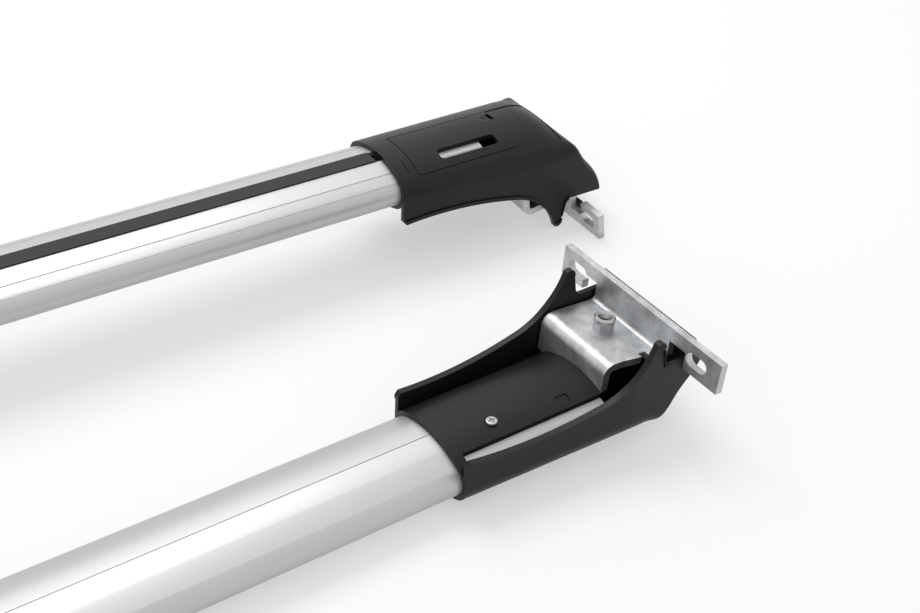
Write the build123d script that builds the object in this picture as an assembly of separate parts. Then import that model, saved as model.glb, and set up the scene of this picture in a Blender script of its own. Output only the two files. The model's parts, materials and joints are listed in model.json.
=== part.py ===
from build123d import *
import math
import os

# Pair of roof cross bars for flush roof rails.
# All sizes are in millimetres. X runs along the bars, Z is up, and the pair lies on Z = 0.
# The front bar stands on its feet. The rear bar lies upside down on the crowns of its feet.
# Each foot is drawn once in its own frame: x outboard from its rim, y across, z up from its crown.

# Bar
bar_length = 930.0
bar_width = 64.0
bar_height = 29.5
bar_edge_radius = 10.0
bar_wall = 2.2
slot_mouth = 12.6
slot_width = 21.0
slot_lip = 2.6
slot_height = 8.0
web_wall = 2.0
web_y = 17.0
groove_width = 1.0
groove_depth = 0.6
groove_places = (19.5, 28.0)
under_groove_width = 0.8
under_groove_depth = 0.35

# Rubber strip in the bar's top slot
strip_proud = 0.6
strip_clearance = 0.25
strip_skin = 2.0
strip_clip = 3.4
strip_end_gap = 4.0

# How far each bar's cut end reaches into its feet, from the foot's rim
front_bar_reach = 70.0
rear_bar_reach = 102.0

# Foot housing
housing_wall = 3.0
bar_clearance = 0.3
rim_overhang = 1.5
rim_ring = 6.5
mouth_start = -6.0
foot_height = 74.8
foot_width = 84.0
foot_crown_radius = 64.0
foot_shoulder_radius = 15.0
hood_start = 109.4
hood_bend = 30.0
hood_slope = 50.0
hood_run = 32.5
hood_end_bend = 30.0
hood_shoulder_radius = 6.5
hood_flattening = 0.9
hood_corner = 2.5
hood_blend = 0.05
mouth_drop = 38.0
arch_peak_drop = 36.0
lobe_x = 123.5
lobe_drop = 73.2
tail_drop = 53.8
tail_fall = 0.4
bead_height = 2.6
bead_proud = 1.0
floor_thickness = 2.6
floor_end = 105.0
floor_lip_y = 21.5
shelf_thickness = 3.0

# Panel, sight window and marks moulded into the housing's top
line_width = 0.8
line_depth = 0.5
panel_start = 13.5
panel_front_y = -30.0
panel_back_y = 13.5
window_start = 35.5
window_length = 45.5
window_width = 8.6
window_y = -18.8
window_corner = 2.6
tick_x = 7.6
tick_length = 11.0
tick_y = -21.0

# Access hatch over the clamp bolt
hatch_start = 93.0
hatch_end = 127.5
hatch_front_y = -31.5
hatch_thickness = 2.3
hatch_gap = 0.45
hatch_sink = 0.5
hatch_ledge = 2.2
hatch_corner = 5.0
hatch_rib = 2.0
hinge_room = 8.0
bar_gap = 1.5
pry_width = 9.0
pry_depth = 3.4
pry_y = 4.0
dish_radius = 14.0
dish_sink = 0.9

# Clamp bracket, folded from one sheet, drawn from the fold between its flat and its cross plate
sheet = 4.7
flat_length = 39.7
front_leg = 24.3
flat_front_y = -37.7
flat_back_y = 21.0
flat_tail_back_y = 24.5
flat_tail_start = -27.0
lean = 9.2
bend_radius = 7.0
cross_bend_radius = 3.0
plate_x = 139.8
plate_length = 140.0
plate_height = 19.6
relief_height = 10.8
relief_width = 13.6
relief_back_y = 35.5
relief_front_y = -43.0
wing_slot_length = 16.5
wing_slot_width = 9.0
wing_slot_height = 10.2
wing_slot_back_y = 51.5
wing_slot_front_y = -56.0
edge_notch_x = -11.3
edge_notch_width = 5.0
edge_notch_depth = 3.2
seat_gap = 0.15

# Rubber pad on the outboard face of the cross plate
pad_width = 84.0
pad_thickness = 3.2
pad_edge = 2.0
pad_corner = 2.0
pad_wall_gap = 0.6

# The clamps of the rear feet are screwed further in than those of the front feet
rear_lean = 3.6
rear_clamp_out = 6.3
rear_clamp_in = 7.7

# Clamp bolt, washer and welded hex bush, placed from the fold of the bracket
bolt_from_fold = 16.4
bolt_y = -9.5
bolt_diameter = 8.0
bolt_head_diameter = 13.0
bolt_head_height = 8.0
bolt_key = 6.0
bolt_key_depth = 4.0
bolt_end_inside = 4.5
bore_clearance = 0.4
washer_diameter = 15.0
washer_thickness = 1.6
washer_rise = 22.4
bush_flats = 11.0
bush_rim_diameter = 13.0
bush_height = 9.5
bush_collar = 3.2
bush_chamfer = 0.9
thread_clearance = 0.05

# Inner block that joins bracket, housing and bar
block_wall = 3.0
block_front_y = -33.0
block_back_y = 14.0
block_top_drop = 28.0
block_end = 134.5
block_gap = 0.6
washer_room = 0.8
tongue_start = 18.0
tongue_clearance = 0.3
neck_half = 12.0
neck_thickness = 2.4
link_length = 7.0
pocket_depth = 10.0
pocket_count = 3

# Fixing screw through the floor into the block's tongue
screw_x = 32.0
screw_y = 11.0
screw_diameter = 4.2
screw_head_diameter = 7.0
screw_head_height = 1.6
screw_sink = 1.2
screw_length = 12.0
screw_recess = 2.6
screw_hole_clearance = 0.5
snap_mark_x = 79.0
snap_mark_y = 15.0
snap_mark_length = 8.0
snap_mark_width = 5.0
snap_mark_depth = 0.7

# How the pair lies: the rear bar beside the front bar
pair_spacing = 225.5
rear_shift = -60.5
rear_yaw = 1.5

# Worked out from the sizes above
bar_yc = bar_width / 2 - bar_edge_radius
bar_crown_radius = (bar_yc ** 2 + bar_height ** 2 / 4 - bar_edge_radius ** 2) / (bar_height - 2 * bar_edge_radius)
sleeve_offset = housing_wall + bar_clearance
bar_top = -sleeve_offset
bar_middle = bar_top - bar_height / 2
bar_bottom = bar_top - bar_height
below = foot_height + 10.0
slope = math.radians(hood_slope)
bend_end_x = hood_start + hood_bend * math.sin(slope)
bend_end_z = -hood_bend * (1 - math.cos(slope))
run_end_x = bend_end_x + hood_run * math.cos(slope)
run_end_z = bend_end_z - hood_run * math.sin(slope)
foot_reach = run_end_x + hood_end_bend * (1 - math.sin(slope))
fold_x = plate_x - plate_height * math.sin(math.radians(lean))
fold_z = plate_height * math.cos(math.radians(lean)) - foot_height
front_clamp = Pos(fold_x, 0, fold_z) * Rot(0, -lean, 0)
rear_clamp = Pos(fold_x + rear_clamp_out, 0, fold_z + rear_clamp_in) * Rot(0, -rear_lean, 0)
slot_floor = slot_lip + slot_height + web_wall
web_outer = slot_width / 2 + web_wall
front_rim = bar_length / 2 - front_bar_reach
rear_rim = bar_length / 2 - rear_bar_reach
bar_reach_max = max(front_bar_reach, rear_bar_reach)
screw_seat = bar_bottom - bar_clearance - floor_thickness + screw_sink
side_view = Plane.XZ
across = Plane.YZ


def crown_drop(y):
    return bar_crown_radius - math.sqrt(bar_crown_radius ** 2 - y ** 2)


def slab(x0, x1, y0, y1, z0, z1):
    box = Box(x1 - x0, y1 - y0, z1 - z0)
    return Pos((x0 + x1) / 2, (y0 + y1) / 2, (z0 + z1) / 2) * box


def lens_face(offset):
    # The bar's outline, grown all round by an offset: two crown arcs joined by round edges.
    half = bar_width / 2 + offset
    edge = bar_edge_radius + offset
    crown = bar_crown_radius + offset
    top = bar_height / 2 + offset
    scale = crown / (bar_crown_radius - bar_edge_radius)
    ty = bar_yc * scale
    tz = (crown - top) * (scale - 1)
    right = ThreePointArc((ty, -tz), (half, 0), (ty, tz))
    over = ThreePointArc((ty, tz), (0, top), (-ty, tz))
    left = ThreePointArc((-ty, tz), (-half, 0), (-ty, -tz))
    under = ThreePointArc((-ty, -tz), (0, -top), (ty, -tz))
    return make_face(right + over + left + under)


def lens_bar(offset, x0, x1):
    face = Plane((x0, 0, bar_middle), x_dir=(0, 1, 0), z_dir=(1, 0, 0)) * lens_face(offset)
    return extrude(face, x1 - x0)


def crowned_face(half_width, crown_radius, edge_radius, inset, floor_z):
    # A foot's cross-section: crown arc, round shoulders and upright walls down to floor_z.
    half = half_width - inset
    crown = crown_radius - inset
    edge = edge_radius - inset
    cy = half - edge
    centre = -inset - crown
    rise = math.sqrt((crown - edge) ** 2 - cy ** 2)
    cz = centre + rise
    scale = crown / (crown - edge)
    ty = cy * scale
    tz = centre + rise * scale
    bisector = math.atan2(rise, cy) / 2
    my = cy + edge * math.cos(bisector)
    mz = cz + edge * math.sin(bisector)
    outline = Line((-half, floor_z), (half, floor_z))
    outline += Line((half, floor_z), (half, cz))
    outline += ThreePointArc((half, cz), (my, mz), (ty, tz))
    outline += ThreePointArc((ty, tz), (0, -inset), (-ty, tz))
    outline += ThreePointArc((-ty, tz), (-my, mz), (-half, cz))
    outline += Line((-half, cz), (-half, floor_z))
    return make_face(outline)


def hood_stations():
    # Points on the hood's profile: distance outboard, height and slope, from level crown to upright end.
    stations = []
    for share in (0.0, 0.12, 0.34, 0.67, 1.0):
        turn = slope * share
        stations.append((hood_start + hood_bend * math.sin(turn), -hood_bend * (1 - math.cos(turn)), turn))
    stations.append(((bend_end_x + run_end_x) / 2, (bend_end_z + run_end_z) / 2, slope))
    centre_x = run_end_x - hood_end_bend * math.sin(slope)
    centre_z = run_end_z - hood_end_bend * math.cos(slope)
    for share in (0.0, 0.38, 0.7, 1.0):
        turn = slope + (math.pi / 2 - slope) * share
        stations.append((centre_x + hood_end_bend * math.sin(turn), centre_z + hood_end_bend * math.cos(turn), turn))
    return stations


def foot_section(x, top, half_width, crown_radius, edge_radius, inset):
    face = crowned_face(half_width, crown_radius, edge_radius, inset, -below - top)
    return Plane((x, 0, top), x_dir=(0, 1, 0), z_dir=(1, 0, 0)) * face


def foot_form(inset):
    # The foot's outer form, or a form inset from it: a flared body and a hood that turns down over the tail.
    mouth_half = bar_width / 2 + sleeve_offset
    mouth = foot_section(mouth_start, 0, mouth_half, bar_crown_radius + sleeve_offset,
                         bar_edge_radius + sleeve_offset, inset)
    sections = []
    for x, z, turn in hood_stations():
        share = min(turn / slope, 1) ** 2
        shoulder = foot_shoulder_radius + (hood_shoulder_radius - foot_shoulder_radius) * share
        station_x = x - inset * math.sin(turn)
        station_z = z + inset * (1 - math.cos(turn))
        crown = foot_crown_radius / (1 - hood_flattening * share)
        sections.append(foot_section(station_x, station_z, foot_width / 2, crown, shoulder, inset))
    body = loft([mouth, sections[0]])
    hood = loft(sections)
    half = foot_width / 2 - inset + hood_blend
    end = foot_reach - inset
    plan = Pos((mouth_start + end) / 2, 0) * Rectangle(end - mouth_start, 2 * half)
    corner = max(hood_corner - inset, 0.6)
    plan = fillet(plan.vertices().sort_by(Axis.X)[2:], corner)
    return body + (hood & extrude(plan, foot_height + 30, both=True))


def side_outline():
    # Side view of the foot: level crown, arched lower edge, pointed lobe and raised tail.
    arch_start = (0.6, -mouth_drop)
    arch_end = (lobe_x - 39.5, -mouth_drop - 3.2)
    lobe_in = (lobe_x - 3.0, -lobe_drop)
    lobe_out = (lobe_x + 3.3, -lobe_drop + 4.5)
    neck_low = (lobe_x + 5.0, -tail_drop - 5.0)
    neck_high = (lobe_x + 10.5, -tail_drop)
    outline = Line((-rim_overhang, 5), (-rim_overhang, -24.0))
    outline += Line((-rim_overhang, -24.0), (-rim_overhang, -mouth_drop + 2.5))
    outline += Line((-rim_overhang, -mouth_drop + 2.5), arch_start)
    outline += ThreePointArc(arch_start, (lobe_x * 0.32, -arch_peak_drop), arch_end)
    outline += ThreePointArc(arch_end, (lobe_x - 17.5, -mouth_drop - 13.2), lobe_in)
    outline += ThreePointArc(lobe_in, (lobe_x + 0.9, -lobe_drop - 0.6), lobe_out)
    outline += Line(lobe_out, neck_low)
    outline += ThreePointArc(neck_low, (lobe_x + 6.6, -tail_drop - 1.6), neck_high)
    outline += Line(neck_high, (foot_reach + 5, -tail_drop - tail_fall))
    outline += Line((foot_reach + 5, -tail_drop - tail_fall), (foot_reach + 5, 5))
    outline += Line((foot_reach + 5, 5), (-rim_overhang, 5))
    return make_face(outline)


def side_mask(drop=0.0):
    face = side_view * side_outline()
    return Pos(0, 0, drop) * extrude(face, foot_width, both=True)


def skin(outer_inset, inner_inset):
    return foot_form(outer_inset) - foot_form(inner_inset)


def plan_prism(x0, x1, y0, y1, corner=0.0):
    face = Rectangle(x1 - x0, y1 - y0)
    if corner > 0:
        face = fillet(face.vertices(), corner)
    block = extrude(face, foot_height + 20, both=True)
    return Pos((x0 + x1) / 2, (y0 + y1) / 2, 0) * block


def hatch_prism(grow):
    # Plan of the hatch, with one rounded corner at the front of its inboard seam.
    x0 = hatch_start - grow
    x1 = hatch_end + grow
    y0 = hatch_front_y - grow
    y1 = panel_back_y - line_width + grow
    face = Rectangle(x1 - x0, y1 - y0)
    corners = face.vertices().sort_by(Axis.X)[:2].sort_by(Axis.Y)[:1]
    face = fillet(corners, hatch_corner + grow)
    block = extrude(face, foot_height + 20, both=True)
    return Pos((x0 + x1) / 2, (y0 + y1) / 2, 0) * block


def line_cut(x0, x1, y0, y1, relief):
    return plan_prism(x0, x1, y0, y1) & relief


def make_bar(reach):
    # Aluminium extrusion: crowned hollow section with a T-slot, two webs and fine grooves.
    outer = lens_face(0)
    inner = lens_face(-bar_wall)
    top = bar_height / 2
    channel = Pos(0, top - slot_floor / 2) * Rectangle(2 * web_outer, slot_floor)
    webs = Rectangle(web_wall, bar_height)
    web_pair = Pos(web_y, 0) * webs + Pos(-web_y, 0) * webs
    section = outer - inner + ((channel + web_pair) & outer)
    mouth = Pos(0, top - slot_lip) * Rectangle(slot_mouth, 2 * slot_lip)
    tee = Pos(0, top - slot_lip - slot_height / 2) * Rectangle(slot_width, slot_height)
    section = section - mouth - tee
    for place in groove_places:
        for side in (-1, 1):
            spot = Pos(side * place, top - crown_drop(place)) * Circle(groove_width / 2)
            section = section - spot
    section = section - Pos(0, -top) * Rectangle(under_groove_width, 2 * under_groove_depth)
    start = Plane((-bar_length / 2, 0, bar_middle), x_dir=(0, 1, 0), z_dir=(1, 0, 0))
    bar = extrude(start * section, bar_length)
    rim = bar_length / 2 - reach
    for side in (-1, 1):
        hole = Cylinder(screw_diameter / 2 + screw_hole_clearance, 4 * bar_wall)
        bar = bar - Pos(side * (rim + screw_x), side * screw_y, bar_bottom) * hole
    return bar


def make_strip(reach):
    # Rubber strip: a flat skin in the slot's mouth, a stem and a clip under the lips.
    top = bar_height / 2
    width = slot_mouth - 2 * strip_clearance
    skin_face = Pos(0, top + strip_proud / 2 - strip_skin / 2) * Rectangle(width, strip_skin + strip_proud)
    stem_depth = slot_lip + strip_clearance
    stem = Pos(0, top - stem_depth / 2 - 0.6) * Rectangle(width - 2.4, stem_depth)
    clip_top = top - slot_lip - strip_clearance
    clip_width = (slot_mouth + slot_width) / 2
    clip = Pos(0, clip_top - strip_clip / 2) * Rectangle(clip_width, strip_clip)
    core = Pos(0, clip_top - strip_clip / 2) * Rectangle(width - 5.0, strip_clip - 1.6)
    section = skin_face + stem + clip - core
    length = 2 * (bar_length / 2 - reach - rim_overhang - strip_end_gap)
    start = Plane((-length / 2, 0, bar_middle), x_dir=(0, 1, 0), z_dir=(1, 0, 0))
    return extrude(start * section, length)


def sleeve_floor():
    # Lower half of the sleeve round the bar: a closed ring at the rim, then a floor with a lip.
    outer_offset = bar_clearance + floor_thickness
    lower = slab(-50, floor_end + 50, -foot_width, foot_width, -below, bar_middle)
    ring = lens_bar(outer_offset, -rim_overhang, rim_ring - rim_overhang) & lower
    keep = slab(-50, floor_end + 50, -foot_width, floor_lip_y, -below, bar_middle)
    floor = lens_bar(outer_offset, -rim_overhang, floor_end) & keep
    nose = bar_width / 2 + bar_clearance
    shelf = slab(0, floor_end, -foot_width, -nose - 0.5, bar_middle - shelf_thickness, bar_middle)
    shelf = shelf & foot_form(housing_wall / 2)
    return (ring + floor + shelf) - lens_bar(bar_clearance, -20, floor_end + 20)


def make_housing():
    # Moulded housing: crowned shell with hood, side walls, beaded lower edges and a floor.
    mask = side_mask()
    outer = foot_form(0)
    cavity = foot_form(housing_wall)
    body = (outer & mask) - cavity
    body = body + (sleeve_floor() & outer)
    band = mask - side_mask(bead_height)
    bead = skin(-bead_proud, housing_wall / 2) & band
    bead = bead & slab(-5, lobe_x + 8, -foot_width, foot_width, -below, bar_middle)
    body = body + bead
    # hatch opening, with a ledge along its two sides beyond the bar's reach
    body = body - (hatch_prism(hatch_gap) & skin(-5.0, housing_wall + 0.5))
    under = hatch_sink + hatch_thickness + 0.1
    rails = hatch_prism(hatch_ledge + 1.0) - hatch_prism(-hatch_ledge)
    room = slab(bar_reach_max + bar_gap, hatch_end - hinge_room, -foot_width, foot_width, -below, 5)
    body = body + (rails & room & skin(under, under + hatch_ledge))
    # sight window, panel lines, tick and floor marks
    window_end = window_start + window_length
    window = plan_prism(window_start, window_end, window_y - window_width / 2, window_y + window_width / 2,
                        window_corner)
    body = body - (window & skin(-5.0, housing_wall + 1.0))
    relief = skin(-1.0, line_depth)
    hatch_stop = hatch_start - hatch_gap
    body = body - line_cut(panel_start, hatch_stop, panel_back_y - line_width, panel_back_y, relief)
    body = body - line_cut(panel_start, hatch_stop, panel_front_y, panel_front_y + line_width, relief)
    body = body - line_cut(panel_start, panel_start + line_width, panel_front_y, panel_back_y, relief)
    body = body - line_cut(tick_x, tick_x + line_width, tick_y - tick_length / 2, tick_y + tick_length / 2, relief)
    pry = plan_prism(hatch_start - pry_depth, hatch_start, pry_y - pry_width / 2, pry_y + pry_width / 2)
    body = body - (pry & skin(-5.0, housing_wall - 0.6))
    dish = Pos(hatch_start - pry_depth - 3.0, pry_y, dish_radius - dish_sink) * Sphere(dish_radius)
    body = body - dish
    floor_surface = bar_bottom - bar_clearance - floor_thickness
    hole = Cylinder(screw_diameter / 2 + screw_hole_clearance, 4 * floor_thickness)
    seat = Pos(0, 0, -floor_thickness) * Cylinder(screw_head_diameter / 2 + screw_hole_clearance, 2 * floor_thickness)
    body = body - Pos(screw_x, screw_y, floor_surface) * hole
    body = body - Pos(screw_x, screw_y, screw_seat) * seat
    mark = slab(snap_mark_x - snap_mark_length / 2, snap_mark_x + snap_mark_length / 2,
                snap_mark_y - snap_mark_width / 2, snap_mark_y + snap_mark_width / 2,
                floor_surface - 3, floor_surface + 3)
    mark = mark - lens_bar(bar_clearance + floor_thickness - snap_mark_depth, 0, floor_end)
    return body - mark


def make_hatch():
    # Curved cover plate that follows the housing's crown, with two snap ribs beneath.
    plate = hatch_prism(0) & skin(hatch_sink, hatch_sink + hatch_thickness)
    reach = hatch_sink + hatch_thickness
    inner = skin(reach - 0.2, reach + hatch_ledge)
    inside = hatch_ledge + 0.4
    rib_start = bar_reach_max + bar_gap
    for y in (hatch_front_y + inside, panel_back_y - line_width - inside - hatch_rib):
        rib = plan_prism(rib_start, hatch_end - hinge_room - hatch_rib, y, y + hatch_rib) & inner
        plate = plate + rib
    return plate


def bracket_profile():
    # Side view of the folded sheet, square to its flat: front leg, flat and cross plate.
    outline = ((-flat_length, front_leg), (-flat_length, 0), (0, 0), (0, -plate_height),
               (sheet, -plate_height), (sheet, sheet), (sheet - flat_length, sheet), (sheet - flat_length, front_leg))
    face = make_face(Polyline(*outline, close=True))
    bends = ((outline[1], bend_radius), (outline[6], bend_radius - sheet),
             (outline[5], cross_bend_radius + sheet), (outline[2], cross_bend_radius))
    for point, radius in bends:
        corner = face.vertices().sort_by_distance((point[0], point[1], 0))[:1]
        face = fillet(corner, radius)
    return face


def make_bracket():
    # One folded sheet: front leg, flat with the bolt hole and cross plate with slotted wings.
    profile = extrude(side_view * bracket_profile(), plate_length, both=True)
    plan = make_face(Polyline((-flat_length - 5, flat_front_y), (2 * sheet, flat_front_y),
                              (2 * sheet, flat_tail_back_y), (0, flat_tail_back_y),
                              (flat_tail_start, flat_back_y), (-flat_length - 5, flat_back_y), close=True))
    middle = profile & extrude(plan, foot_height + 20, both=True)
    plate = Pos(sheet / 2, 0, -plate_height / 2) * Box(sheet, plate_length, plate_height)
    for y in (wing_slot_front_y, wing_slot_back_y):
        slot = Plane.YZ * SlotOverall(wing_slot_length, wing_slot_width)
        plate = plate - Pos(-1, y, wing_slot_height - plate_height) * extrude(slot, sheet + 2)
    for y in (relief_front_y, relief_back_y):
        plate = plate - Pos(0, y, -relief_height / 2) * Box(3 * sheet, relief_width, relief_height)
    bracket = middle + plate
    notch = slab(edge_notch_x - edge_notch_width / 2, edge_notch_x + edge_notch_width / 2,
                 flat_tail_back_y - edge_notch_depth - 2, flat_tail_back_y + 5, -2, sheet + 2)
    bracket = bracket - notch
    hole = Cylinder(bolt_diameter / 2 + bore_clearance, 4 * sheet)
    bracket = bracket - Pos(-bolt_from_fold, bolt_y, sheet / 2) * hole
    # the arch that clears the sleeve's floor when the clamp is screwed in
    sleeve = lens_bar(bar_clearance + floor_thickness + seat_gap, 0, foot_reach)
    return bracket - rear_clamp.inverse() * sleeve


def make_pad():
    # Rubber pad between the cross plate and the vehicle's rail, glued to the plate's flat face.
    # It starts below the housing's tail wall when the clamp is screwed in.
    start = tail_drop + tail_fall + pad_wall_gap + fold_z + rear_clamp_in
    height = plate_height - start - pad_edge
    face = Plane.YZ * RectangleRounded(pad_width, height, pad_corner)
    return Pos(sheet, 0, -start - height / 2) * extrude(face, pad_thickness)


def make_bush():
    # Welded nut: hexagon on the flat, wider turned rim with a chamfered end, threaded bore.
    hexagon = extrude(RegularPolygon(bush_flats / 2, 6, major_radius=False, rotation=30), bush_height - bush_collar)
    collar = Pos(0, 0, bush_height - bush_collar) * extrude(Circle(bush_rim_diameter / 2), bush_collar)
    collar = chamfer(collar.edges().group_by(Axis.Z)[-1], bush_chamfer)
    bush = hexagon + collar
    bore = extrude(Circle(bolt_diameter / 2 + thread_clearance), bush_height)
    cone = Pos(0, 0, bush_height - bush_chamfer / 2) * Cone(bolt_diameter / 2, bolt_diameter / 2 + bush_chamfer,
                                                            bush_chamfer)
    bush = bush - bore - cone
    return Pos(-bolt_from_fold, bolt_y, 0) * Rot(180, 0, 0) * bush


def make_bolt():
    # Socket-head clamp bolt under the hatch, its end just inside the bush.
    seat = washer_rise + washer_thickness
    bolt_length = seat + bush_height - bolt_end_inside
    shank = extrude(Circle(bolt_diameter / 2), -bolt_length)
    shank = chamfer(shank.edges().group_by(Axis.Z)[0], 0.8)
    head = extrude(Circle(bolt_head_diameter / 2), bolt_head_height)
    head = chamfer(head.edges().group_by(Axis.Z)[-1], 0.6)
    key = Pos(0, 0, bolt_head_height - bolt_key_depth) * extrude(
        RegularPolygon(bolt_key / 2, 6, major_radius=False), bolt_key_depth)
    return Pos(-bolt_from_fold, bolt_y, seat) * (shank + head - key)


def make_washer():
    ring = Circle(washer_diameter / 2) - Circle(bolt_diameter / 2 + bore_clearance)
    return Pos(-bolt_from_fold, bolt_y, washer_rise) * extrude(ring, washer_thickness)


def bolt_x_at(fold, lean_angle, z):
    # Where the bolt's axis crosses a height, for a bracket whose fold and lean are given.
    angle = math.radians(lean_angle)
    base_x = fold[0] - bolt_from_fold * math.cos(angle)
    base_z = fold[1] - bolt_from_fold * math.sin(angle)
    return base_x - (z - base_z) * math.tan(angle)


def make_block():
    # Inner block: a seat for the bolt between two cheeks, and a tongue inside the bar.
    rear_fold = (fold_x + rear_clamp_out, fold_z + rear_clamp_in)
    rear_angle = math.radians(rear_lean)
    leg_x = rear_fold[0] - (flat_length - sheet) * math.cos(rear_angle) + block_gap
    bottom = rear_fold[1] + sheet * math.cos(rear_angle) + block_gap
    body = slab(leg_x, block_end, block_front_y, block_back_y, bottom, -block_top_drop)
    pocket_room = (block_end - leg_x - block_wall) / pocket_count
    for index in range(pocket_count):
        x0 = leg_x + block_wall + index * pocket_room
        pocket = slab(x0, x0 + pocket_room - block_wall, block_back_y - pocket_depth, block_back_y + 1,
                      bottom + block_wall, 0)
        body = body - pocket
    # channel for washer and bolt head, its floor square to the front clamps' bolts
    room = washer_diameter / 2 + washer_room
    channel = slab(-2 * foot_height, foot_height, bolt_y - room, bolt_y + room, washer_rise, 2 * foot_height)
    body = body - front_clamp * channel
    low_x = bolt_x_at((fold_x, fold_z), lean, -block_top_drop)
    high_x = bolt_x_at(rear_fold, rear_lean, bottom)
    slot_long = high_x - low_x + bolt_diameter + 2 * bore_clearance
    slot = extrude(SlotOverall(slot_long, bolt_diameter + 2 * bore_clearance), 2 * foot_height, both=True)
    body = body - Pos((low_x + high_x) / 2, bolt_y, 0) * slot
    # neck past the sleeve's floor, and the tongue
    half = web_y - web_wall / 2 - tongue_clearance
    low = bar_bottom + bar_wall + tongue_clearance + 1.05 * crown_drop(half)
    high = bar_top - slot_floor - tongue_clearance
    neck_x = max(bar_reach_max + bar_gap, floor_end + tongue_clearance)
    neck_low = bar_bottom - bar_clearance - floor_thickness + 1.05 * crown_drop(neck_half) + tongue_clearance
    tongue = slab(tongue_start, neck_x + 1, -half, half, low, high)
    core = slab(tongue_start + 40, neck_x - 6, -half + block_wall, half - block_wall, low + block_wall, high + 1)
    neck = slab(neck_x, neck_x + neck_thickness, -neck_half, neck_half, neck_low, high)
    link = slab(neck_x, neck_x + link_length, bolt_y + room + tongue_clearance, neck_half, neck_low, high)
    block = body + neck + link + tongue - core
    pilot = Cylinder(screw_diameter / 2 + thread_clearance, 2 * screw_length)
    return block - Pos(screw_x, screw_y, bar_bottom) * pilot


def make_screw():
    # Pan-head fixing screw driven up through the bar's underside.
    seat = screw_seat
    shank = extrude(Circle(screw_diameter / 2), screw_length)
    head = extrude(Circle(screw_head_diameter / 2), -screw_head_height)
    head = fillet(head.edges().group_by(Axis.Z)[0], 0.7)
    slot = Pos(0, 0, -screw_head_height) * Box(screw_recess * 1.6, 0.9, 1.6)
    cross = Pos(0, 0, -screw_head_height) * Box(0.9, screw_recess * 1.6, 1.6)
    return Pos(screw_x, screw_y, seat - seat_gap) * (shank + head - slot - cross)


# The foot's pieces, drawn once
foot_pieces = {
    "housing": make_housing(),
    "hatch": make_hatch(),
    "inner_block": make_block(),
    "fixing_screw": make_screw(),
}

# The clamp's pieces, drawn once from the fold of the bracket
clamp_pieces = {
    "bracket": make_bracket(),
    "rail_pad": make_pad(),
    "hex_bush": make_bush(),
    "clamp_bolt": make_bolt(),
    "washer": make_washer(),
}

# Place everything from the middle of the front bar, then move the origin under the middle of the pair
front_place = Pos(0, 0, foot_height)
rear_place = Pos(rear_shift, -pair_spacing, 0) * Rot(0, 0, rear_yaw) * Rot(180, 0, 0)
pair = {}
for bar_name, place, clamp, rim, reach in (("front", front_place, front_clamp, front_rim, front_bar_reach),
                                           ("rear", rear_place, rear_clamp, rear_rim, rear_bar_reach)):
    pair[bar_name + "_bar"] = place * make_bar(reach)
    pair[bar_name + "_rubber_strip"] = place * make_strip(reach)
    for side_name, turn in (("right", Pos(rim, 0, 0)), ("left", Rot(0, 0, 180) * Pos(rim, 0, 0))):
        foot = bar_name + "_" + side_name + "_"
        for piece_name, piece in foot_pieces.items():
            pair[foot + piece_name] = place * turn * piece
        for piece_name, piece in clamp_pieces.items():
            pair[foot + piece_name] = place * turn * clamp * piece

ends = [pair[name].bounding_box() for name in pair if name.endswith(("housing", "bracket"))]
middle_x = (min(box.min.X for box in ends) + max(box.max.X for box in ends)) / 2
middle_y = (min(box.min.Y for box in ends) + max(box.max.Y for box in ends)) / 2
centre = Pos(-middle_x, -middle_y, 0)
print("middle of the pair", middle_x, middle_y)

os.makedirs("parts", exist_ok=True)
for name, shape in pair.items():
    placed = centre * shape
    placed.label = name
    export_step(placed, "parts/" + name + ".step")
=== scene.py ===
import json
import math

import bpy
from mathutils import Matrix, Vector


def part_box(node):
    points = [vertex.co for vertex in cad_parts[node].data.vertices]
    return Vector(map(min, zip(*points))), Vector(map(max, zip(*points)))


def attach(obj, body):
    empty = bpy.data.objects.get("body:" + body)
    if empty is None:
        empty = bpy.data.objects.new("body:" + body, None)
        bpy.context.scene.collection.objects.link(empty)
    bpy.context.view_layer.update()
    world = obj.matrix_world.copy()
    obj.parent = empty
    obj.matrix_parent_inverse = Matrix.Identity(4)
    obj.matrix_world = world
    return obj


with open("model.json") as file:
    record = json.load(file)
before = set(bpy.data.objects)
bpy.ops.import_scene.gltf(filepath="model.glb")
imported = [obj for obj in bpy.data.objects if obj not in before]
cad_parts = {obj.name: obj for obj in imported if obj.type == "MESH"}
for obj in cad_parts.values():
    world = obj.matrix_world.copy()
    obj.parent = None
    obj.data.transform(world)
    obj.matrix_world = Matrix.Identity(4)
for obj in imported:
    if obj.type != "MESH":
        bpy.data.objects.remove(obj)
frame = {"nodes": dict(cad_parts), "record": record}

bl_info = {
    "name": "Roof cross bar pair",
    "version": (1, 0, 0),
    "blender": (4, 5, 0),
    "location": "3D View > Sidebar > Cross bars",
    "description": "Finishes, threads, camera and stage for a pair of roof cross bars",
    "category": "Object",
}

MM = 0.001
FEET = (("front", "right"), ("front", "left"), ("rear", "right"), ("rear", "left"))

WHITE = (1.0, 1.0, 1.0, 1.0)
# Rays that see the plain white backdrop: those of the camera, of metal and of glass.
PALE_RAYS = ("Is Camera Ray", "Is Glossy Ray", "Is Transmission Ray")

THREAD_CORNERS = 3
THREAD_STEPS = 40
THREAD_LIFT = 0.1
THREAD_SMOOTHING = math.radians(30)


# Settings

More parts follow.
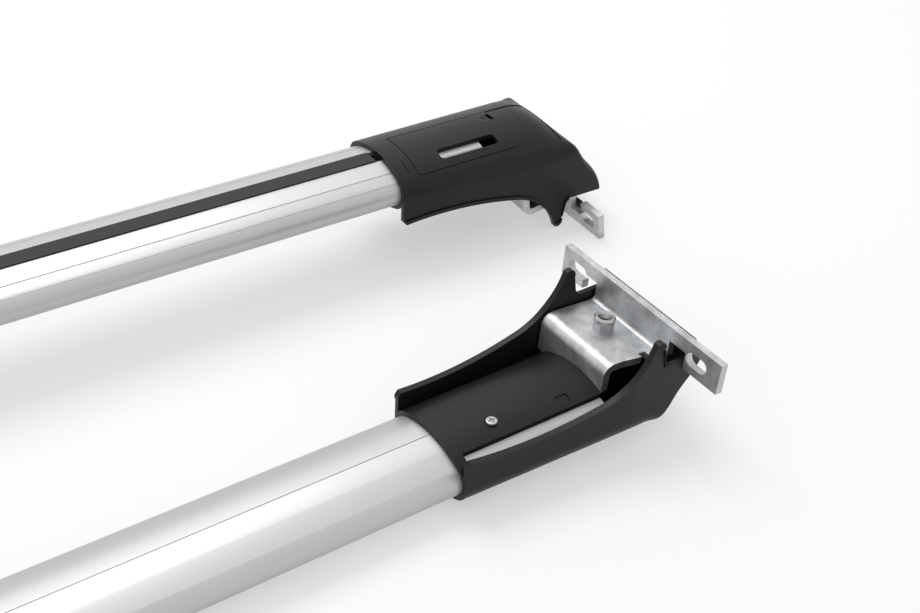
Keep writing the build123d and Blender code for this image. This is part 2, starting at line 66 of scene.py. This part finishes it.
class FinishSettings(bpy.types.PropertyGroup):
    """Colours of the pieces and the grain of the plastic"""
    aluminium: bpy.props.FloatVectorProperty(
        name="Aluminium", description="Colour of the satin bars",
        subtype="COLOR", default=(0.52, 0.525, 0.53))
    plastic: bpy.props.FloatVectorProperty(
        name="Plastic", description="Colour of the moulded feet",
        subtype="COLOR", default=(0.0055, 0.0055, 0.006))
    rubber: bpy.props.FloatVectorProperty(
        name="Rubber", description="Colour of the strips and the pads",
        subtype="COLOR", default=(0.008, 0.008, 0.008))
    zinc: bpy.props.FloatVectorProperty(
        name="Zinc", description="Colour of the galvanised brackets",
        subtype="COLOR", default=(0.52, 0.53, 0.54))
    plating: bpy.props.FloatVectorProperty(
        name="Plating", description="Colour of screws, bolts, washers and bushes",
        subtype="COLOR", default=(0.45, 0.45, 0.46))
    grain: bpy.props.FloatProperty(
        name="Grain", description="Size of the moulded plastic's grain",
        unit="LENGTH", default=0.45 * MM)


class ThreadSettings(bpy.types.PropertyGroup):
    """Sizes and places of the threads in the welded bushes"""
    radius: bpy.props.FloatProperty(
        name="Bore radius", description="Radius of the bush's bore",
        unit="LENGTH", default=4.05 * MM)
    pitch: bpy.props.FloatProperty(
        name="Pitch", description="Distance from one turn to the next",
        unit="LENGTH", default=1.25 * MM)
    ridge: bpy.props.FloatProperty(
        name="Ridge", description="Height of the thread's ridge",
        unit="LENGTH", default=0.42 * MM)
    turns: bpy.props.IntProperty(
        name="Turns", description="Full turns that show past the bolt's end", default=3)
    depth: bpy.props.FloatProperty(
        name="Start", description="Distance from the washer's middle to the first turn",
        unit="LENGTH", default=28.6 * MM)
    front_lean: bpy.props.FloatProperty(
        name="Front lean", description="Lean of the front feet's clamps",
        unit="ROTATION", default=math.radians(9.2))
    rear_lean: bpy.props.FloatProperty(
        name="Rear lean", description="Lean of the rear feet's clamps",
        unit="ROTATION", default=math.radians(3.6))
    rear_yaw: bpy.props.FloatProperty(
        name="Rear yaw", description="Turn of the rear bar against the front bar",
        unit="ROTATION", default=math.radians(1.5))


class StageSettings(bpy.types.PropertyGroup):
    """Floor, light and camera"""
    floor_size: bpy.props.FloatProperty(
        name="Floor", description="Side of the square floor",
        unit="LENGTH", default=14.0)
    floor_colour: bpy.props.FloatVectorProperty(
        name="Floor colour", description="Colour of the floor",
        subtype="COLOR", default=(0.97, 0.97, 0.97))
    paper: bpy.props.FloatProperty(
        name="White paper", description="Share of plain white that is seen on the floor",
        subtype="FACTOR", default=0.45)
    sky: bpy.props.FloatProperty(
        name="Room light", description="Strength of the light from all round", default=0.66)
    key: bpy.props.FloatProperty(
        name="Key lamp", description="Power of the large lamp above", default=16.0)
    key_size: bpy.props.FloatProperty(
        name="Key size", description="Side of the large lamp", unit="LENGTH", default=1.1)
    key_place: bpy.props.FloatVectorProperty(
        name="Key place", description="Where the large lamp hangs",
        subtype="XYZ", unit="LENGTH", default=(0.35, 0.9, 1.7))
    fill: bpy.props.FloatProperty(
        name="Fill lamp", description="Power of the lamp at the left", default=3.0)
    fill_size: bpy.props.FloatProperty(
        name="Fill size", description="Side of the lamp at the left",
        unit="LENGTH", default=1.2)
    fill_place: bpy.props.FloatVectorProperty(
        name="Fill place", description="Where the lamp at the left hangs",
        subtype="XYZ", unit="LENGTH", default=(-1.3, -1.0, 1.0))
    aim: bpy.props.FloatVectorProperty(
        name="Aim", description="Where both lamps point",
        subtype="XYZ", unit="LENGTH", default=(0.3, 0.0, 0.0))
    lens: bpy.props.FloatProperty(
        name="Lens", description="Focal length of the camera, in mm", default=56.537)
    sensor: bpy.props.FloatProperty(
        name="Sensor", description="Width of the camera's sensor, in mm", default=36.0)
    nearest: bpy.props.FloatProperty(
        name="Nearest", description="Distance from which the camera sees",
        unit="LENGTH", default=0.01)
    place: bpy.props.FloatVectorProperty(
        name="Camera place", description="Where the camera stands",
        subtype="XYZ", unit="LENGTH", default=(-0.01763, -0.59192, 0.55982))
    heading: bpy.props.FloatProperty(
        name="Heading", description="Direction of the view in plan",
        unit="ROTATION", default=0.958)
    dip: bpy.props.FloatProperty(
        name="Dip", description="How far the view looks down",
        unit="ROTATION", default=0.634)
    roll: bpy.props.FloatProperty(
        name="Roll", description="Turn of the camera about its view",
        unit="ROTATION", default=0.057)


# Shader maths

class Value:
    """A number in a node tree: plain arithmetic on it adds the nodes."""

    def __init__(self, graph, socket):
        self.graph = graph
        self.socket = socket

    def _math(self, kind, first, second):
        return self.graph.node("ShaderNodeMath", {"operation": kind}, {0: first, 1: second})

    def __add__(self, other):
        return self._math("ADD", self, other)

    def __radd__(self, other):
        return self._math("ADD", other, self)

    def __mul__(self, other):
        return self._math("MULTIPLY", self, other)

    def __rmul__(self, other):
        return self._math("MULTIPLY", other, self)


class Graph:
    """The nodes of one material or world."""

    def __init__(self, owner, output_kind):
        owner.use_nodes = True
        self.tree = owner.node_tree
        self.tree.nodes.clear()
        self.output = self.tree.nodes.new(output_kind)

    def join(self, value, socket):
        if isinstance(value, Value):
            self.tree.links.new(value.socket, socket)
        else:
            socket.default_value = value

    def node(self, kind, settings, inputs, output=0):
        made = self.tree.nodes.new(kind)
        for key, value in settings.items():
            setattr(made, key, value)
        for key, value in inputs.items():
            self.join(value, made.inputs[key])
        return Value(self, made.outputs[output])

    def surface(self, value):
        self.join(value, self.output.inputs["Surface"])

    def mixed(self, share, first, second):
        return self.node("ShaderNodeMixShader", {}, {0: share, 1: first, 2: second})

    def pale_rays(self):
        path = self.tree.nodes.new("ShaderNodeLightPath")
        camera, glossy, through = (Value(self, path.outputs[ray]) for ray in PALE_RAYS)
        return camera + glossy + through


class Finish(Graph):
    """The nodes of one material around one principled shader."""

    def __init__(self, name):
        self.material = bpy.data.materials.new(name)
        super().__init__(self.material, "ShaderNodeOutputMaterial")
        self.shader = self.tree.nodes.new("ShaderNodeBsdfPrincipled")
        self.lit = Value(self, self.shader.outputs["BSDF"])
        self.surface(self.lit)

    def where(self):
        return self.node("ShaderNodeTexCoord", {}, {}, "Object")

    def stretched(self, scale):
        return self.node("ShaderNodeMapping", {}, {"Vector": self.where(), "Scale": scale})

    def noise(self, vector, scale, detail=2.0, roughness=0.5):
        return self.node("ShaderNodeTexNoise", {}, {
            "Vector": vector, "Scale": scale, "Detail": detail, "Roughness": roughness})

    def cells(self, vector, scale, output="Distance"):
        return self.node("ShaderNodeTexVoronoi", {}, {"Vector": vector, "Scale": scale}, output)

    def ramp(self, value, low, high):
        return self.node("ShaderNodeMapRange", {}, {
            "Value": value, "From Min": low, "From Max": high})

    def blend(self, factor, first, second):
        made = self.tree.nodes.new("ShaderNodeMix")
        made.data_type = "RGBA"
        # The sockets of the colour mix: its factor, first and second colour.
        for value, socket in ((factor, 0), (first, 6), (second, 7)):
            self.join(value, made.inputs[socket])
        return Value(self, made.outputs[2])

    def bump(self, height, distance, strength):
        return self.node("ShaderNodeBump", {}, {
            "Height": height, "Distance": distance, "Strength": strength})

    def set(self, **values):
        for key, value in values.items():
            self.join(value, self.shader.inputs[key.replace("_", " ")])


def colour(rgb, gain=1.0):
    return (rgb[0] * gain, rgb[1] * gain, rgb[2] * gain, 1.0)


# Finishes: pattern scales count how often a pattern repeats in a metre

def aluminium_finish(settings):
    # Satin anodising: faint lines along the bar and a slow change of tone.
    g = Finish("anodised_aluminium_finish")
    along_bar = (6.0, 1400.0, 1400.0)
    cloud_scale = 14.0
    line_depth = 0.02 * MM
    lines = g.noise(g.stretched(along_bar), 1.0, detail=3.0, roughness=0.6)
    cloud = g.noise(g.where(), cloud_scale, detail=3.0)
    g.set(Base_Color=g.blend(g.ramp(cloud, 0.3, 0.7), colour(settings.aluminium, 0.97),
                             colour(settings.aluminium)),
          Metallic=0.75,
          Roughness=0.36 + 0.12 * lines + 0.04 * cloud,
          Normal=g.bump(lines, line_depth, 0.35))
    return g.material


def plastic_finish(settings, name, gain, gloss):
    # Moulded plastic: fine grain, a little dust in its valleys and slow changes of gloss.
    g = Finish(name)
    grains_per_metre = 1.0 / settings.grain
    pits_per_metre = 1.4 / settings.grain
    cloud_scale = 22.0
    grain_depth = 0.05 * MM
    dust_gain = 1.7
    grain = g.noise(g.where(), grains_per_metre, roughness=0.6)
    pits = g.cells(g.where(), pits_per_metre)
    cloud = g.noise(g.where(), cloud_scale, detail=4.0, roughness=0.6)
    dust = g.ramp(grain, 0.35, 0.75) * 0.5 + g.ramp(cloud, 0.35, 0.75) * 0.5
    g.set(Base_Color=g.blend(dust, colour(settings.plastic, gain),
                             colour(settings.plastic, dust_gain * gain)),
          Roughness=gloss + 0.12 * cloud + 0.05 * grain,
          Normal=g.bump(grain + 0.5 * pits, grain_depth, 0.55),
          IOR=1.45,
          Specular_IOR_Level=0.3)
    return g.material


def black_plastic_finish(settings):
    return plastic_finish(settings, "black_plastic_finish", 1.0, 0.33)


def inner_plastic_finish(settings):
    return plastic_finish(settings, "inner_plastic_finish", 0.8, 0.42)


def rubber_finish(settings):
    # Pressed rubber: fine lines along the strip and a little dust.
    g = Finish("black_rubber_finish")
    along_strip = (25.0, 900.0, 900.0)
    cloud_scale = 60.0
    line_depth = 0.05 * MM
    dust_gain = 1.8
    lines = g.noise(g.stretched(along_strip), 1.0)
    cloud = g.noise(g.where(), cloud_scale, detail=4.0)
    g.set(Base_Color=g.blend(g.ramp(cloud, 0.35, 0.7), colour(settings.rubber),
                             colour(settings.rubber, dust_gain)),
          Roughness=0.62 + 0.14 * cloud,
          Normal=g.bump(lines + cloud, line_depth, 0.4))
    return g.material


def zinc_finish(settings):
    # Hot zinc on rolled sheet: mottled patches, fine speckle and soft handling marks.
    g = Finish("galvanised_steel_finish")
    patch_scale = 210.0
    mottle_scale = 95.0
    speckle_scale = 1500.0
    scuffs_across = (60.0, 420.0, 60.0)
    relief = 0.06 * MM
    dark_gain = 0.58
    pale_gain = 1.38
    patches = g.cells(g.where(), patch_scale, "Color")
    mottle = g.noise(g.where(), mottle_scale, detail=5.0, roughness=0.65)
    speckle = g.noise(g.where(), speckle_scale, roughness=0.7)
    scuff = g.noise(g.stretched(scuffs_across), 1.0, detail=5.0, roughness=0.75)
    tone = (g.ramp(mottle, 0.3, 0.7) * 0.55 + g.ramp(speckle, 0.3, 0.7) * 0.3
            + patches * 0.2)
    g.set(Base_Color=g.blend(tone, colour(settings.zinc, dark_gain),
                             colour(settings.zinc, pale_gain)),
          Metallic=0.9,
          Roughness=0.36 + 0.16 * mottle + 0.08 * g.ramp(scuff, 0.4, 0.7),
          Normal=g.bump(mottle + 0.4 * speckle + 0.3 * scuff, relief, 0.4))
    return g.material


def plating_finish(settings):
    # Plated and turned steel: fine rings and cloudy plating.
    g = Finish("plated_steel_finish")
    turned_rings = (250.0, 250.0, 2600.0)
    cloud_scale = 240.0
    ring_depth = 0.02 * MM
    rings = g.noise(g.stretched(turned_rings), 1.0, detail=3.0, roughness=0.6)
    cloud = g.noise(g.where(), cloud_scale, detail=4.0)
    g.set(Base_Color=g.blend(cloud, colour(settings.plating, 0.8),
                             colour(settings.plating, 1.15)),
          Metallic=1.0,
          Roughness=0.24 + 0.16 * cloud,
          Normal=g.bump(rings, ring_depth, 0.4))
    return g.material


FINISH_MAKERS = {
    "anodised_aluminium": aluminium_finish,
    "black_plastic": black_plastic_finish,
    "inner_plastic": inner_plastic_finish,
    "black_rubber": rubber_finish,
    "galvanised_steel": zinc_finish,
    "plated_steel": plating_finish,
}
FINISHES = {}


def finish_for(slot_name, settings):
    if slot_name not in FINISHES:
        FINISHES[slot_name] = FINISH_MAKERS[slot_name](settings)
    return FINISHES[slot_name]


# Operators

class CROSSBARS_OT_finishes(bpy.types.Operator):
    """Give every solid its finish"""
    bl_idname = "crossbars.finishes"
    bl_label = "Finishes"

    def execute(self, context):
        settings = context.scene.crossbars_finish
        slots = {entry["node"]: entry["material_slot"] for entry in frame["record"]["subparts"]}
        for name, obj in frame["nodes"].items():
            if name not in slots:
                raise RuntimeError("no material slot for " + name)
            finish = finish_for(slots[name], settings)
            for material_slot in obj.material_slots:
                material_slot.material = finish
            if not obj.material_slots:
                obj.data.materials.append(finish)
        return {"FINISHED"}


class CROSSBARS_OT_threads(bpy.types.Operator):
    """Model the thread that shows in each welded bush"""
    bl_idname = "crossbars.threads"
    bl_label = "Bush threads"

    def model_thread(self, settings):
        # A ridge with three corners, wound up the Z axis and closed at both ends.
        bpy.ops.object.select_all(action="DESELECT")
        bpy.ops.mesh.primitive_circle_add(
            vertices=THREAD_CORNERS, radius=settings.ridge, fill_type="NOTHING",
            location=(0, 0, 0), rotation=(math.pi / 2, 0, 0))
        thread = bpy.context.object
        if thread is None or thread.type != "MESH":
            raise RuntimeError("the thread's profile was not made")
        bpy.ops.object.transform_apply(location=True, rotation=True, scale=True)
        bpy.ops.object.mode_set(mode="EDIT")
        bpy.ops.mesh.select_all(action="SELECT")
        bpy.ops.transform.translate(value=(settings.radius + THREAD_LIFT * settings.ridge, 0, 0))
        bpy.ops.object.mode_set(mode="OBJECT")
        screw = thread.modifiers.new("turns", "SCREW")
        screw.axis = "Z"
        screw.steps = THREAD_STEPS
        screw.render_steps = THREAD_STEPS
        screw.screw_offset = settings.pitch
        screw.iterations = settings.turns
        bpy.ops.object.modifier_apply(modifier=screw.name)
        bpy.ops.object.mode_set(mode="EDIT")
        bpy.ops.mesh.select_all(action="SELECT")
        bpy.ops.mesh.fill_holes(sides=THREAD_CORNERS)
        bpy.ops.mesh.select_all(action="SELECT")
        bpy.ops.mesh.normals_make_consistent(inside=False)
        bpy.ops.object.mode_set(mode="OBJECT")
        return thread

    def twin(self, context, thread):
        piece = thread.copy()
        piece.data = thread.data.copy()
        context.collection.objects.link(piece)
        return piece

    def axis_place(self, settings, bar, side):
        # Where a thread starts: its Z axis runs from the washer through the bush.
        turn = settings.rear_yaw if bar == "rear" else 0.0
        outboard = Vector((math.cos(turn), math.sin(turn), 0.0))
        if side == "left":
            outboard = -outboard
        crown = Vector((0.0, 0.0, 1.0 if bar == "front" else -1.0))
        lean = settings.front_lean if bar == "front" else settings.rear_lean
        away = outboard * math.sin(lean) - crown * math.cos(lean)
        across = away.cross(outboard).normalized()
        low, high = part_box(bar + "_" + side + "_washer")
        middle = (Vector(low) + Vector(high)) / 2
        place = Matrix((across.cross(away), across, away)).transposed().to_4x4()
        place.translation = middle + away * settings.depth
        return place

    def execute(self, context):
        settings = context.scene.crossbars_thread
        finish = finish_for("plated_steel", context.scene.crossbars_finish)
        thread = self.model_thread(settings)
        pieces = [thread] + [self.twin(context, thread) for _ in FEET[1:]]
        for piece, (bar, side) in zip(pieces, FEET):
            piece.name = bar + "_" + side + "_bush_thread"
            piece.matrix_world = self.axis_place(settings, bar, side)
            bpy.ops.object.select_all(action="DESELECT")
            piece.select_set(True)
            context.view_layer.objects.active = piece
            bpy.ops.object.transform_apply(location=True, rotation=True, scale=True)
            bpy.ops.object.shade_smooth_by_angle(angle=THREAD_SMOOTHING)
            piece.data.materials.append(finish)
            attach(piece, "pair")
        return {"FINISHED"}


class CROSSBARS_OT_stage(bpy.types.Operator):
    """Set up floor, lamps, backdrop and camera"""
    bl_idname = "crossbars.stage"
    bl_label = "Stage"

    def lay_floor(self, settings):
        bpy.ops.object.select_all(action="DESELECT")
        bpy.ops.mesh.primitive_plane_add(size=settings.floor_size, location=(0, 0, 0))
        floor = bpy.context.object
        floor.name = "floor"
        g = Finish("floor_finish")
        cloud = g.noise(g.where(), 3.0)
        g.set(Base_Color=g.blend(cloud, colour(settings.floor_colour),
                                 colour(settings.floor_colour, 0.99)),
              Roughness=0.85,
              Specular_IOR_Level=0.15)
        # Camera, metal and glass see the floor paler than it is. Its light stays as it is.
        white = g.node("ShaderNodeEmission", {}, {"Color": WHITE, "Strength": 1.0})
        g.surface(g.mixed(g.pale_rays() * settings.paper, g.lit, white))
        floor.data.materials.append(g.material)

    def light_room(self, scene, settings):
        scene.world = bpy.data.worlds.new("room")
        g = Graph(scene.world, "ShaderNodeOutputWorld")
        room = g.node("ShaderNodeBackground", {}, {"Color": WHITE, "Strength": settings.sky})
        seen = g.node("ShaderNodeBackground", {}, {"Color": WHITE, "Strength": 1.0})
        g.surface(g.mixed(g.pale_rays(), room, seen))

    def hang_lamp(self, name, place, aim, power, size):
        bpy.ops.object.light_add(type="AREA", location=place)
        lamp = bpy.context.object
        lamp.name = name
        lamp.data.energy = power
        lamp.data.size = size
        view = Vector(aim) - Vector(place)
        lamp.rotation_euler = view.to_track_quat("-Z", "Y").to_euler()

    def place_camera(self, scene, settings):
        bpy.ops.object.camera_add(location=settings.place)
        camera = bpy.context.object
        camera.name = "photo_camera"
        camera.data.lens = settings.lens
        camera.data.sensor_width = settings.sensor
        camera.data.sensor_fit = "HORIZONTAL"
        camera.data.clip_start = settings.nearest
        ahead = Vector((math.cos(settings.dip) * math.cos(settings.heading),
                        math.cos(settings.dip) * math.sin(settings.heading),
                        -math.sin(settings.dip)))
        level = Vector((ahead.y, -ahead.x, 0.0)).normalized()
        rise = level.cross(ahead)
        right = level * math.cos(settings.roll) + rise * math.sin(settings.roll)
        up = rise * math.cos(settings.roll) - level * math.sin(settings.roll)
        camera.rotation_euler = Matrix((right, up, -ahead)).transposed().to_euler()
        scene.camera = camera

    def execute(self, context):
        scene = context.scene
        settings = scene.crossbars_stage
        scene.view_settings.view_transform = "Standard"
        self.lay_floor(settings)
        self.light_room(scene, settings)
        self.hang_lamp("key_lamp", settings.key_place, settings.aim,
                       settings.key, settings.key_size)
        self.hang_lamp("fill_lamp", settings.fill_place, settings.aim,
                       settings.fill, settings.fill_size)
        self.place_camera(scene, settings)
        if scene.camera is None:
            raise RuntimeError("the camera was not made")
        return {"FINISHED"}


class CROSSBARS_PT_panel(bpy.types.Panel):
    """List the operators and their settings"""
    bl_idname = "CROSSBARS_PT_panel"
    bl_label = "Cross bars"
    bl_space_type = "VIEW_3D"
    bl_region_type = "UI"
    bl_category = "Cross bars"

    def draw(self, context):
        scene = context.scene
        groups = (("crossbars.finishes", scene.crossbars_finish),
                  ("crossbars.threads", scene.crossbars_thread),
                  ("crossbars.stage", scene.crossbars_stage))
        for operator, settings in groups:
            box = self.layout.box()
            for key in settings.__annotations__:
                box.prop(settings, key)
            box.operator(operator)


# Registering and running

CLASSES = (FinishSettings, ThreadSettings, StageSettings, CROSSBARS_OT_finishes,
           CROSSBARS_OT_threads, CROSSBARS_OT_stage, CROSSBARS_PT_panel)
GROUPS = (("crossbars_finish", FinishSettings), ("crossbars_thread", ThreadSettings),
          ("crossbars_stage", StageSettings))


def register():
    for cls in CLASSES:
        bpy.utils.register_class(cls)
    for name, group in GROUPS:
        setattr(bpy.types.Scene, name, bpy.props.PointerProperty(type=group))


def unregister():
    for name, _ in GROUPS:
        delattr(bpy.types.Scene, name)
    for cls in reversed(CLASSES):
        bpy.utils.unregister_class(cls)


def main():
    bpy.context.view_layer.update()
    register()
    bpy.ops.crossbars.finishes()
    bpy.ops.crossbars.threads()
    bpy.ops.crossbars.stage()


if __name__ == "__main__":
    main()
